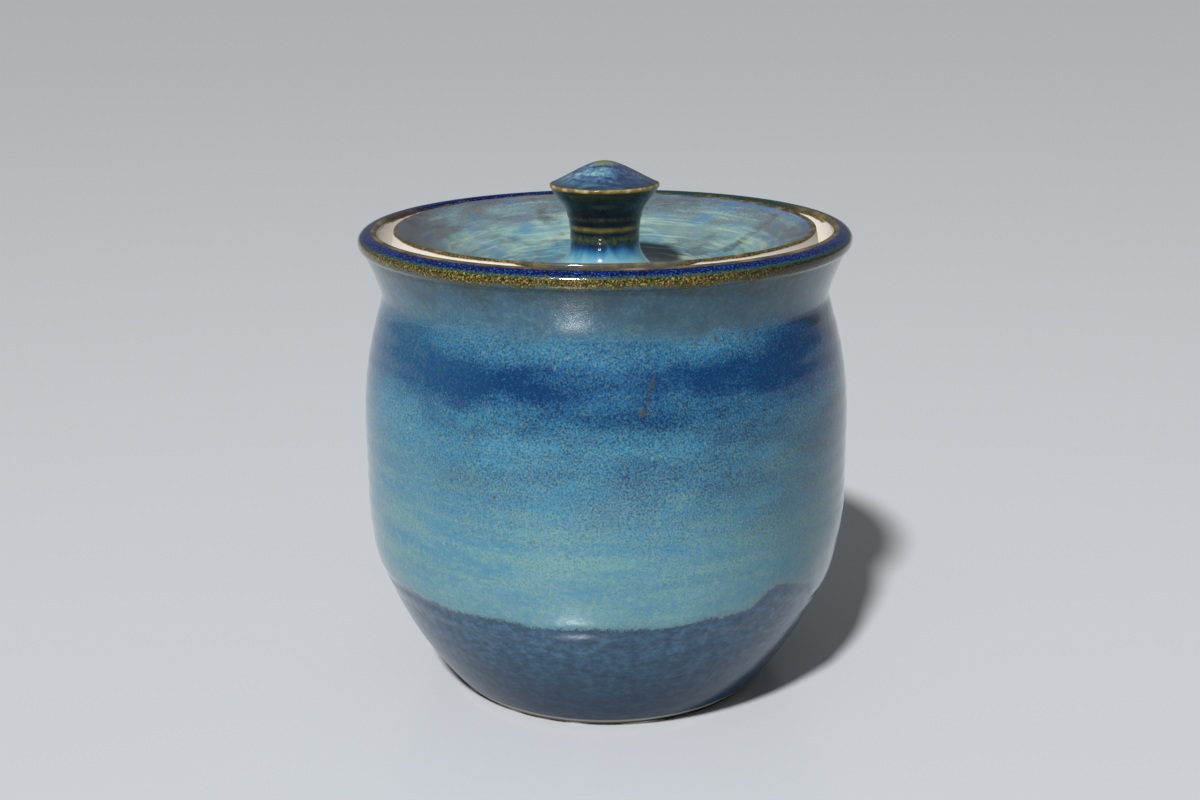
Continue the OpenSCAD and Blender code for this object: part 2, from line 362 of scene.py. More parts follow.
def glazed_stoneware(name, paint, ragged_by, peel_depth, run_way=(0.0, 0.0, 0.0)):
    """Stoneware under a thick glossy glaze, whose fine orange peel breaks up its highlights.
    Past the glaze line the clay is cream, dry and slightly gritty, and the thin glaze there fires gold.
    Towards run_way the glaze ran over its line."""
    material = bpy.data.materials.new(name)
    material.use_nodes = True
    tree = material.node_tree
    tree.nodes.clear()
    place = add(tree, "ShaderNodeTexCoord").outputs["Object"]
    place = add(tree, "ShaderNodeVectorMath", {0: place, "Scale": 1 / MM}, operation="SCALE")
    height, _, outward = wheel_coordinates(tree, place)
    # The glaze line wavers over stretches of about 12 mm
    ragged = add(tree, "ShaderNodeTexNoise", {"Vector": place, "Scale": 1 / 12, "Detail": 4.0})
    reach = add(tree, "ShaderNodeAttribute", attribute_name="glaze_edge").outputs["Fac"]
    reach = stirred(tree, reach, (ragged, ragged_by))
    run = add(tree, "ShaderNodeVectorMath", {0: outward, 1: run_way}, operation="DOT_PRODUCT")
    run = add(
        tree, "ShaderNodeMapRange", {"Value": run, "From Min": 0.92, "From Max": 0.98, "To Max": run_over}
    )
    reach = add(tree, "ShaderNodeMath", {0: reach, 1: run}, operation="ADD")
    cover = add(tree, "ShaderNodeMapRange", {"Value": reach, "From Min": -0.15, "From Max": 0.15})
    thin = add(tree, "ShaderNodeMapRange", {"Value": reach, "From Min": 0.8, "From Max": 0.2, "To Max": 0.9})
    grit = add(tree, "ShaderNodeTexNoise", {"Vector": place, "Scale": 1 / 0.5, "Detail": 3.0})
    clay = lay_glazes(tree, colour("#e6e0d6"), [(grit, "#f2ede5")])
    gold = add(
        tree, "ShaderNodeValToRGB", {"Fac": grit},
        stops=[(0.38, "#26200f"), (0.5, "#5a4a22"), (0.64, "#94763c")],
    )
    glaze = lay_glazes(tree, paint(tree, place), [(thin, gold)])
    shade = lay_glazes(tree, clay, [(cover, glaze)])
    rough = add(tree, "ShaderNodeMapRange", {"Value": cover, "To Min": 0.8, "To Max": 0.3})
    # Near the foot the glaze is thin and less glossy
    gloss = add(tree, "ShaderNodeMapRange", {"Value": height, "From Max": 32.0, "To Min": 0.25})
    gloss = add(tree, "ShaderNodeMath", {0: gloss, 1: cover}, operation="MULTIPLY")
    # Orange peel of about 2.5 mm with half-millimetre grain on the glaze, and grit on the clay
    peel = add(tree, "ShaderNodeTexNoise", {"Vector": place, "Scale": 1 / 2.5, "Detail": 1.0})
    peel = add(tree, "ShaderNodeBump", {"Distance": peel_depth * MM, "Height": peel})
    wet, dry = (
        add(tree, "ShaderNodeBump", {"Distance": depth * MM, "Height": grit, "Normal": peel})
        for depth in (peel_depth / 2, grit_depth)
    )
    shader = add(
        tree, "ShaderNodeBsdfPrincipled",
        {
            "Base Color": shade, "Roughness": rough, "IOR": 1.5, "Specular IOR Level": 0.06,
            "Normal": dry, "Coat Weight": gloss, "Coat Roughness": 0.07, "Coat IOR": 1.38,
            "Coat Normal": wet,
        },
    )
    add(tree, "ShaderNodeOutputMaterial", {"Surface": shader})
    return material


def patches(tree, pattern, start, full, most, *limits):
    """How much of a glaze shows: none where a pattern is at start, most where it is at full.
    Each limit is a share too, and takes some of it away."""
    share = add(
        tree, "ShaderNodeMapRange", {"Value": pattern, "From Min": start, "From Max": full, "To Max": most}
    )
    for limit in limits:
        share = add(tree, "ShaderNodeMath", {0: share, 1: limit}, operation="MULTIPLY")
    return share


def paint_jar(tree, place):
    """Slate blue below the dip line, turquoise above it, a navy band that dissolves in specks, a grey neck.
    The roll of the rim has gold and olive grains on its side and cobalt on its top."""
    height, radius, outward = wheel_coordinates(tree, place)
    faces = add(tree, "ShaderNodeSeparateXYZ", {0: outward}).outputs
    rightward, backward = faces["X"], faces["Y"]
    sideward = add(tree, "ShaderNodeMath", {0: rightward}, operation="ABSOLUTE")
    # Patterns by the size of their patches in mm
    clouds, tints, flecks, crystals, grains, rim_grains = (
        add(tree, "ShaderNodeTexNoise", {"Vector": place, "Scale": 1 / size, "Detail": detail})
        for size, detail in ((25, 3.0), (7, 3.0), (1.5, 3.0), (0.7, 2.0), (0.42, 1.0), (0.4, 1.0))
    )
    # Level streaks 18 mm long and 7 mm high, finer ones that the turning wheel combed, and short blots
    streaks, combing, blots = (
        add(
            tree, "ShaderNodeTexNoise",
            {
                "Vector": add(
                    tree, "ShaderNodeVectorMath", {0: place, 1: (1 / long, 1 / long, 1 / high)},
                    operation="MULTIPLY",
                ),
                "Scale": 1.0, "Detail": detail, "Roughness": rough,
            },
        )
        for long, high, detail, rough in ((18, 7, 4.0, 0.6), (26, 3.2, 4.0, 0.6), (2.5, 1.8, 5.0, 0.65))
    )
    # The bands of glaze lie level, but drift and fray by a few millimetres
    drifted = stirred(tree, height, (clouds, 8.0), (tints, 7.0))
    share_up = add(tree, "ShaderNodeMath", {0: drifted, 1: 1 / jar_h}, operation="MULTIPLY")

    def by_height(levels):
        """A share, or a colour as a hex code, that changes with the height in mm."""
        stops = [(z / jar_h, level) for z, level in levels]
        return add(tree, "ShaderNodeValToRGB", {"Fac": share_up}, stops=stops)

    upper = by_height((
        (34, "#618d9a"), (48, "#598a9b"), (60, "#4d879d"), (70, "#47859f"), (80, "#4287a2"),
        (88, "#2f6b96"), (94, "#387598"), (98.5, "#477c94"), (101.5, "#426b7f"), (106, "#3c6075"),
        (110, "#334e5b"),
    ))
    below_band = add(tree, "ShaderNodeMapRange", {"Value": drifted, "From Min": 78.0, "From Max": 60.0})
    frayed = add(tree, "ShaderNodeMath", {0: flecks, 1: 8.0, 2: drifted}, operation="MULTIPLY_ADD")
    below_neck = add(tree, "ShaderNodeMapRange", {"Value": frayed, "From Min": 106.0, "From Max": 101.0})
    above_neck = add(tree, "ShaderNodeMath", {0: 1.0, 1: below_neck}, operation="SUBTRACT")
    pale = patches(tree, streaks, 0.46, 0.68, 0.42, below_band)
    dull = patches(tree, tints, 0.42, 0.66, 0.4, above_neck)
    # Navy specks of half a millimetre crowd together at the shoulder and thin out towards the dip line
    crowd = by_height((
        (34, 0.04), (48, 0.16), (58, 0.36), (66, 0.51), (74, 0.54), (80, 0.63), (85, 0.82), (88.5, 1.02),
        (91.5, 0.98), (94.5, 0.6), (98, 0.42), (101, 0.22), (104, 0.05),
    ))
    # At both sides they reach up to the neck, and at the front the band has a gap
    collared = by_height(((90, 0.0), (95, 1.0), (99, 1.0), (102, 0.0)))
    banded = by_height(((82, 0.0), (86, 1.0), (93, 1.0), (97, 0.0)))
    for start, full, change, levels in ((0.45, 0.85, 0.4, collared), (0.26, 0.06, -0.3, banded)):
        more = patches(tree, sideward, start, full, change, levels)
        crowd = add(tree, "ShaderNodeMath", {0: crowd, 1: more}, operation="ADD")
    # Broad patterns stir them first, and then fine ones, which show even where they crowd most
    most_crowded = 1.02
    for patterns in (((clouds, 0.4), (streaks, 1.1), (combing, 0.45)), ((flecks, 0.5), (grains, 1.2))):
        stir = stirred(tree, 0.0, *patterns)
        crowd = add(tree, "ShaderNodeMath", {0: stir, 1: below_neck, 2: crowd}, operation="MULTIPLY_ADD")
        crowd = add(tree, "ShaderNodeMath", {0: crowd, 1: most_crowded}, operation="MINIMUM")
    # They are faint low down and on one side
    faint = by_height(((40, 0.35), (58, 0.75), (70, 1.0)))
    side = add(
        tree, "ShaderNodeMapRange",
        {"Value": rightward, "From Min": -0.9, "From Max": -0.4, "To Min": 0.6},
    )
    thinned = patches(tree, rightward, -0.1, -0.7, 0.4, by_height(((74, 1.0), (84, 0.0))))
    kept = add(tree, "ShaderNodeMath", {0: 1.0, 1: thinned}, operation="SUBTRACT")
    navy = patches(tree, crowd, 0.15, 1.0, 1.0, faint, side, kept)
    # Between them the glaze breaks to sage green and to a misty blue
    sage = patches(tree, flecks, 0.48, 0.68, 0.45, by_height(((96, 1.0), (104, 0.4))))
    mist = patches(tree, crystals, 0.5, 0.32, 0.5, by_height(((98, 1.0), (107, 0.45))))
    # The wheel combed the paler glaze into green and blue streaks
    combed = by_height(((34, 0.3), (44, 1.0), (68, 0.9), (80, 0.0)))
    green = patches(tree, combing, 0.5, 0.66, 0.45, combed)
    blue = patches(tree, combing, 0.48, 0.34, 0.5, combed)
    # Finer than those, dark and moss green grains, softest on the neck and on the pale glaze low down
    grainy = by_height(((34, 0.3), (58, 0.55), (76, 1.0), (96, 1.0), (103, 0.75)))
    dusk = patches(tree, grains, 0.48, 0.72, 0.5, grainy)
    moss = patches(tree, crystals, 0.52, 0.7, 0.45, grainy, by_height(((96, 1.0), (103, 0.2))))
    # Painted shade and painted dark reflection on one side: darker below the band and greyer on the neck
    painted_shade_side = patches(tree, rightward, 0.3, 0.8, 0.45, by_height(((76, 1.0), (84, 0.0))))
    grey = patches(tree, rightward, -0.1, 0.4, 0.35, above_neck)
    upper = lay_glazes(tree, upper, (
        (pale, "#8aaeaa"), (green, "#7fa997"), (blue, "#417f9d"), (sage, "#82a596"), (mist, "#4a86ac"),
        (dull, "#36494f"), (moss, "#73a49c"), (navy, "#0b3560"), (dusk, "#103e62"), (painted_shade_side, "#34505a"),
        (grey, "#2c3f42"),
    ))
    # Slate blue in blots below the dip line, darker along the line itself, and darker towards the foot,
    # partly as painted shade and painted dark reflection near the floor
    # At the foot the glaze breaks to a pale line, and the bevel below it is almost black
    lower = add(
        tree, "ShaderNodeValToRGB", {"Fac": blots},
        stops=[(0.32, "#293f57"), (0.5, "#37566f"), (0.68, "#476f8a")],
    )
    above = stirred(tree, above_dip(tree, outward, height), (grains, 2.4), (flecks, 2.0))
    low_and_painted_shade, edge_dark, dipped, foot_line, foot_dark = (
        add(
            tree, "ShaderNodeMapRange",
            {"Value": level, "From Min": start, "From Max": full, "To Max": most},
        )
        for level, start, full, most in (
            (height, 30.0, 8.0, 0.75), (above, -2.2, -0.3, 0.45), (above, -0.4, 0.4, 1.0),
            (height, foot_bevel + 0.8, foot_bevel + 0.3, 0.8),
            (height, foot_bevel - 0.1, foot_bevel - 0.4, 1.0),
        )
    )
    # Iron in the clay burns through as rust: specks 16 mm apart, one mark by the neck and one short run
    rust = add(tree, "ShaderNodeTexVoronoi", {"Vector": place, "Scale": 1 / 16})
    rust = add(
        tree, "ShaderNodeMapRange",
        {"Value": rust.outputs["Distance"], "From Min": 0.035, "From Max": 0.02, "To Max": 0.6},
    )
    for spot, size in (
        ((23.8, -49.6, 98.0), 0.5), ((10.1, -56.2, 90.9), 0.4), ((9.7, -56.5, 89.4), 0.4),
        ((8.8, -57.1, 87.8), 0.35), ((8.9, -57.4, 86.0), 0.4), ((7.9, -58.0, 83.6), 0.55),
    ):
        away = add(tree, "ShaderNodeVectorMath", {0: place, 1: spot}, operation="SUBTRACT")
        away = add(tree, "ShaderNodeVectorMath", {0: away, 1: (1.0, 1.0, 0.5)}, operation="MULTIPLY")
        away = add(tree, "ShaderNodeVectorMath", {0: away}, operation="LENGTH")
        away = add(tree, "ShaderNodeMath", {0: away, 1: grains}, operation="MULTIPLY")
        mark = add(
            tree, "ShaderNodeMapRange",
            {"Value": away, "From Min": 0.7 * size, "From Max": 0.3 * size, "To Max": 0.65},
        )
        rust = add(tree, "ShaderNodeMath", {0: rust, 1: mark}, operation="MAXIMUM")
    # The roll: gold crystals in olive and rust, a teal fringe along both sides, and cobalt on the top
    olive, cobalt, gold = (
        add(tree, "ShaderNodeValToRGB", {"Fac": pattern}, stops=stops)
        for pattern, stops in (
            (rim_grains, [
                (0.34, "#121706"), (0.44, "#2f310c"), (0.52, "#504a18"), (0.6, "#726025"), (0.7, "#b09450"),
            ]),
            (rim_grains, [(0.36, "#000422"), (0.49, "#020d46"), (0.6, "#062776"), (0.7, "#2264b6")]),
            (tints, [(0.36, "#3c361a"), (0.5, "#64552a"), (0.66, "#937c46")]),
        )
    )
    # It hangs lower on one side, where painted shade and painted dark reflection make it darker too
    lower_side = add(
        tree, "ShaderNodeMapRange", {"Value": rightward, "From Min": 0.2, "From Max": 0.6, "To Max": 1.1}
    )
    edge = stirred(tree, height, (grains, 1.6))
    hung = add(tree, "ShaderNodeMath", {0: edge, 1: lower_side}, operation="ADD")
    hung = stirred(tree, hung, (tints, 4.0))
    back_right = add(
        tree, "ShaderNodeVectorMath", {0: outward, 1: (0.6, 0.8, 0.0)}, operation="DOT_PRODUCT"
    )
    roll_z = jar_h - roll_h
    on_roll, low_fringe, high_fringe, on_top, rusty, painted_shade_roll, mossy, tan_side = (
        add(
            tree, "ShaderNodeMapRange",
            {"Value": level, "From Min": start, "From Max": full, "To Max": most},
        )
        for level, start, full, most in (
            (hung, roll_z + 0.3, roll_z + 0.8, 1.0), (hung, roll_z + 1.5, roll_z + 0.7, 0.7),
            (edge, jar_h - 1.9, jar_h - 1.3, 0.9), (edge, jar_h - 1.3, jar_h - 1.0, 1.0),
            (flecks, 0.52, 0.64, 0.35), (rightward, 0.25, 0.7, 0.85), (back_right, 0.5, 0.85, 0.85),
            (backward, 0.6, 0.2, 1.0),
        )
    )
    # The crest breaks to tan, farther out at the front than at the sides
    # At the back it stays cobalt or turns a mossy green
    crest_out = add(
        tree, "ShaderNodeMapRange",
        {"Value": backward, "From Min": 0.3, "From Max": -0.7, "To Min": -0.5, "To Max": 1.1},
    )
    crest_out = add(tree, "ShaderNodeMath", {0: radius, 1: crest_out}, operation="SUBTRACT")
    crest_r = rim_r - roll_w
    crest = patches(tree, crest_out, crest_r + 0.3, crest_r, 1.0, tan_side)
    cobalt = lay_glazes(tree, cobalt, [(mossy, "#1c3a2e")])
    # The near black olive on one side of the roll is painted shade and painted dark reflection
    roll = lay_glazes(tree, olive, (
        (rusty, "#5e2f12"), (painted_shade_roll, "#191d12"), (low_fringe, "#43553f"), (high_fringe, "#2b5048"),
        (on_top, cobalt), (crest, gold),
    ))
    return lay_glazes(tree, lower, (
        (low_and_painted_shade, "#03213a"), (edge_dark, "#1c2f49"), (dipped, upper), (rust, "#4a451c"),
        (foot_line, "#a39d90"), (foot_dark, "#0c120e"), (on_roll, roll),
    ))


stand_r = foot_r - foot_bevel
ring_in = stand_r - foot_ring_w
foot_edge = Vector((foot_r, foot_bevel))
foot_span = belly_low_z - foot_bevel
groove_z = jar_h - roll_h
groove = Vector((rim_r - groove_in, groove_z))
collar_h = groove_z - waist_z
shoulder_h = waist_z - belly_high_z
roll_side = (rim_r, jar_h - roll_drop)
crest = (rim_r - roll_w, jar_h)
collar_top = (rim_r - roll_w - crest_round, jar_h - crest_round)
ledge_z = jar_h - seat_depth
seat_r = lid_seat_r + lid_clearance
mouth_r = seat_r - ledge_w
ledge_foot = (mouth_r, ledge_z - ledge_edge_h)
inner_r = belly_r - wall
inner_span = ledge_foot[1] - belly_high_z
underside = [Vector((0, foot_recess))]
underside += line((0, foot_recess), (ring_in - foot_recess, foot_recess), hidden_step)
underside += line((ring_in - foot_recess, foot_recess), (ring_in, 0), ledge_step)
underside += line((ring_in, 0), (stand_r, 0), plain_step)
foot_wall = line((stand_r, 0), foot_edge, fine_step)
foot_wall += curve(
    foot_edge,
    foot_edge + foot_reach * foot_span * Vector((math.sin(foot_lean), math.cos(foot_lean))),
    (belly_r, belly_low_z - belly_low_reach * foot_span), (belly_r, belly_low_z), foot_step,
)
belly = line((belly_r, belly_low_z), (belly_r, belly_high_z), wall_step)
belly += curve(
    (belly_r, belly_high_z), (belly_r, belly_high_z + belly_high_reach * shoulder_h),
    (waist_r, waist_z - waist_reach * shoulder_h), (waist_r, waist_z), wall_step,
)
collar = curve(
    (waist_r, waist_z), (waist_r, waist_z + collar_low_reach * collar_h),
    groove - collar_high_reach * collar_h * Vector((math.sin(collar_lean), math.cos(collar_lean))),
    groove, ledge_step,
)
rim = quarter(groove, (rim_r, groove_z), roll_side, fine_step)
rim += quarter(roll_side, (rim_r, jar_h), crest, fine_step)
rim += quarter(crest, (collar_top[0], jar_h), collar_top, fine_step)
gallery = line(collar_top, (seat_r, ledge_z + seat_round), ledge_step)
gallery += quarter(
    (seat_r, ledge_z + seat_round), (seat_r, ledge_z), (seat_r - seat_round, ledge_z), fine_step
)
gallery += line((seat_r - seat_round, ledge_z), (mouth_r + seat_round, ledge_z), ledge_step)
gallery += quarter(
    (mouth_r + seat_round, ledge_z), (mouth_r, ledge_z), (mouth_r, ledge_z - seat_round), fine_step
)
inside = line((mouth_r, ledge_z - seat_round), ledge_foot, plain_step)
inside += curve(
    ledge_foot, (mouth_r, ledge_foot[1] - hollow_reach * inner_span),
    (inner_r, belly_high_z + hollow_reach * inner_span), (inner_r, belly_high_z), hidden_step,
)
inside += line((inner_r, belly_high_z), (inner_r, belly_low_z), hidden_step)
inside += quarter((inner_r, belly_low_z), (inner_r, floor_z), (floor_flat_r, floor_z), hidden_step)
inside += line((floor_flat_r, floor_z), (0, floor_z), hidden_step)

jar = throw(
    "thrown_jar",
    section_mesh(
        "jar_section",
        [
            (underside, False, 0.0), (foot_wall, True, 0.3), (belly, True, 1.0), (collar, True, 0.2),
            (rim, True, 0.0), (gallery, False, 0.0), (inside, True, 0.0),
        ],
    ),
    segments=224, ring_pitch=5.0 * MM, ring_depth=0.12 * MM, wobble=0.003, glaze_step=0.55 * MM,
    seed=3.0,
    finish=glazed_stoneware("blue_glazed_stoneware", paint_jar, ragged_by=3.0, peel_depth=0.06),
)
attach(jar, "jar")
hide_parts("jar_body")

# Lid
# A dished stoneware disc that drops into the gallery, its edge level with the rim.
# Its side and the seat under it are wiped bare of glaze so that it doesn't stick in firing.
mouth_clearance = 0.9
lid_draft = math.radians(8)
lid_round = 0.7
dish_depth = 12.3
lid_t = 5.0
dish_slope = math.radians(25)
dish_reach = 0.42
knob_base_r, _, knob_top_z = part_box("lid_knob")[1] / MM
dish_margin = 1.5
lid_edge_step = 0.12
lid_side_step = 0.3
dish_step = 0.5
under_step = 1.2
centre_step = 1.5
dish_z = jar_h - dish_depth
lid_r = lid_seat_r - seat_depth * math.tan(lid_draft)
dish_floor = Vector((knob_base_r + dish_margin, dish_z))
dish_edge = Vector((lid_r - lid_round, jar_h))
dish_under = dish_floor - Vector((0, lid_t))
lid_heel = Vector((mouth_r - mouth_clearance, ledge_z))
dish_way = Vector((math.cos(dish_slope), math.sin(dish_slope)))
dish_pull = dish_reach * (dish_edge.x - dish_floor.x)
under_pull = dish_reach * (lid_heel.x - dish_under.x)
lid_foot = (lid_seat_r - lid_round, ledge_z)
side_foot = Vector((lid_seat_r, ledge_z + lid_round))
side_top = Vector((lid_r, jar_h - lid_round))
lid_under = [Vector((0, dish_under.y))]
lid_under += line((0, dish_under.y), dish_under, centre_step)
lid_under += curve(
    dish_under, dish_under + Vector((under_pull, 0)), lid_heel - under_pull * dish_way, lid_heel, under_step
)
lid_bare = line(lid_heel, lid_foot, ledge_step)
lid_bare += quarter(lid_foot, (lid_seat_r, ledge_z), side_foot, fine_step)
lid_bare += line(side_foot, side_top, lid_side_step)
lid_top = quarter(side_top, (lid_r, jar_h), dish_edge, lid_edge_step)
lid_top += curve(
    dish_edge, dish_edge - dish_pull * dish_way, dish_floor + Vector((dish_pull, 0)), dish_floor, dish_step
)
lid_top += line(dish_floor, (0, dish_z), plain_step)


def paint_lid(tree, place):
    """Teal and blue round the knob, pale streaks on the slope, then grey, a blue ring and a tan edge."""
    _, radius, outward = wheel_coordinates(tree, place)
    faces = add(tree, "ShaderNodeSeparateXYZ", {0: outward}).outputs
    # Swirls that follow the wheel: long round the lid and about 5 mm wide across it, and finer combed ones
    turn = add(tree, "ShaderNodeVectorMath", {0: outward, "Scale": 2.2}, operation="SCALE")
    swirls = []
    for wide in (5.0, 1.8):
        across = add(
            tree, "ShaderNodeCombineXYZ",
            {"Z": add(tree, "ShaderNodeMath", {0: radius, 1: 1 / wide}, operation="MULTIPLY")},
        )
        path = add(tree, "ShaderNodeVectorMath", {0: turn, 1: across}, operation="ADD")
        swirls.append(add(
            tree, "ShaderNodeTexNoise",
            {"Vector": path, "Scale": 1.0, "Detail": 5.0, "Roughness": 0.62, "Distortion": 0.4},
        ))
    swirl, combing = swirls
    clouds, tints, grains = (
        add(tree, "ShaderNodeTexNoise", {"Vector": place, "Scale": 1 / size, "Detail": detail})
        for size, detail in ((9, 4.0), (3, 4.0), (0.6, 2.0))
    )
    # Rings of glaze, bent by the swirls. The grey outer one is wider towards the front
    front = add(tree, "ShaderNodeVectorMath", {0: outward, 1: (-0.4, -0.92, 0.0)}, operation="DOT_PRODUCT")
    bent = stirred(tree, radius, (swirl, 44.0))
    bent = add(tree, "ShaderNodeMath", {0: front, 1: 5.0, 2: bent}, operation="MULTIPLY_ADD")
    rings = (
        (12, "#84aeb2"), (17, "#5690aa"), (22, "#4a829c"), (27, "#6d9ba4"), (32, "#8eb0aa"),
        (36, "#7da2a8"), (41, "#6f8a96"), (46, "#69777e"), (51, "#60676a"),
    )
    dish = add(
        tree, "ShaderNodeValToRGB",
        {"Fac": add(tree, "ShaderNodeMath", {0: bent, 1: 1 / lid_r}, operation="MULTIPLY")},
        stops=[(r / lid_r, code) for r, code in rings],
    )
    # Clouds and combed streaks, with cream ones half way up the slope and brown specks farther out
    back, blue, dark, warm, slope, outer = (
        add(
            tree, "ShaderNodeMapRange",
            {"Value": pattern, "From Min": start, "From Max": full, "To Max": most},
        )
        for pattern, start, full, most in (
            (front, -0.65, -1.0, 0.35), (clouds, 0.54, 0.7, 0.55), (clouds, 0.46, 0.33, 0.75),
            (combing, 0.46, 0.32, 0.75), (bent, 46.0, 34.0, 1.0), (radius, 36.0, 46.0, 1.0),
        )
    )
    cream = patches(tree, combing, 0.5, 0.66, 0.62, slope)
    brown = patches(tree, grains, 0.5, 0.66, 0.5, outer)
    grey = patches(tree, front, 0.2, 0.9, 0.6, outer)
    # On one side the glaze ran back from the edge: there the tan edge is wider and the blue ring stronger
    one_side = add(tree, "ShaderNodeMapRange", {"Value": faces["X"]})
    outset = add(tree, "ShaderNodeMath", {0: one_side, 1: 0.6, 2: radius}, operation="MULTIPLY_ADD")
    off_ring = add(tree, "ShaderNodeMath", {0: outset, 1: lid_r - 1.65}, operation="SUBTRACT")
    off_ring = add(tree, "ShaderNodeMath", {0: off_ring}, operation="ABSOLUTE")
    ring_share = add(tree, "ShaderNodeMapRange", {"Value": one_side, "To Min": 0.2, "To Max": 1.2})
    ring = patches(tree, off_ring, 0.7, 0.15, 1.0, ring_share, tints)
    # At the front the glaze covers most of the tan edge
    bared = add(
        tree, "ShaderNodeMapRange",
        {"Value": faces["Y"], "From Min": -0.97, "From Max": -0.9, "To Min": 0.4},
    )
    edge = patches(tree, outset, lid_r - 1.1, lid_r - 0.8, 1.0, bared)
    tan = add(
        tree, "ShaderNodeValToRGB", {"Fac": tints},
        stops=[(0.36, "#332f18"), (0.5, "#584c26"), (0.66, "#8a7644")],
    )
    return lay_glazes(tree, dish, (
        (back, "#4a565e"), (blue, "#4079a6"), (dark, "#3f4a50"), (cream, "#bccaaa"), (warm, "#7c7462"),
        (grey, "#545654"), (brown, "#544f46"), (ring, "#4a78c0"), (edge, tan),
    ))


lid = throw(
    "dished_lid",
    section_mesh(
        "lid_section",
        [(lid_under, True, 0.0), (lid_bare, False, 0.0), (lid_top, True, 0.0)],
    ),
    segments=220, ring_pitch=6.5 * MM, ring_depth=0.0, wobble=0.002, glaze_step=0.0, seed=7.0,
    finish=glazed_stoneware(
        "variegated_lid_glaze", paint_lid, ragged_by=0.8, peel_depth=0.015, run_way=(0.0, -1.0, 0.0)
    ),
)
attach(lid, "lid_with_knob")
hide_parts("lid")

# Knob
# A mushroom knob thrown on to the lid from a second lump of clay and fused to it by slip and glaze.
# The glaze pools almost black on the neck and breaks to gold on the throwing rings and the cap's edge.
cap_r = 13.4
knob_waist_r = 8.45
knob_waist_h = 8.6
cap_edge_t = 0.9
cap_edge_in = 0.3
cap_crown_h = 5.4
cap_lean = math.radians(24)
base_lean = math.radians(42)
crown_slope = math.radians(23)
knob_base_reach = 0.51
knob_waist_low_reach = 0.5
knob_waist_high_reach = 0.7
cap_under_reach = 0.39
crown_edge_reach = 0.33
crown_top_reach = 0.29
first_ring_h = 9.4
ring_spacing = 2.55
ring_h = 0.1
ring_w = 1.3
knob_step = 0.2
cap_edge_step = 0.1
crown_step = 0.4
knob_waist_z = dish_z + knob_waist_h
ring_zs = [dish_z + first_ring_h + ring_spacing * i for i in range(3)]
cap_top_z = knob_top_z - cap_crown_h
cap_z = cap_top_z - cap_edge_t
neck_h = cap_z - knob_waist_z
base_h = knob_waist_z - dish_z
knob_base = Vector((knob_base_r, dish_z))
cap_under = Vector((cap_r - cap_edge_in, cap_z))
cap_over = Vector((cap_r - cap_edge_in, cap_top_z))
cap_side = (cap_r, cap_z + cap_edge_t / 2)
neck = curve(
    knob_base,
    knob_base + knob_base_reach * base_h * Vector((-math.sin(base_lean), math.cos(base_lean))),
    (knob_waist_r, knob_waist_z - knob_waist_low_reach * base_h), (knob_waist_r, knob_waist_z), knob_step,
)
neck += curve(
    (knob_waist_r, knob_waist_z), (knob_waist_r, knob_waist_z + knob_waist_high_reach * neck_h),
    cap_under - cap_under_reach * neck_h * Vector((math.sin(cap_lean), math.cos(cap_lean))),
    cap_under, knob_step,
)
for p in neck:
    bumps = [math.cos(math.pi / 2 * min(1, 2 * abs(p.y - z) / ring_w)) for z in ring_zs]
    p.x += ring_h * max(bumps)
cap = quarter(cap_under, (cap_r, cap_z), cap_side, cap_edge_step)
cap += quarter(cap_side, (cap_r, cap_top_z), cap_over, cap_edge_step)
cap += curve(
    cap_over, cap_over + crown_edge_reach * cap_r * Vector((-math.cos(crown_slope), math.sin(crown_slope))),
    (crown_top_reach * cap_r, knob_top_z), (0, knob_top_z), crown_step,
)
knob_foot = [Vector((0, dish_z))] + line((0, dish_z), knob_base, centre_step)


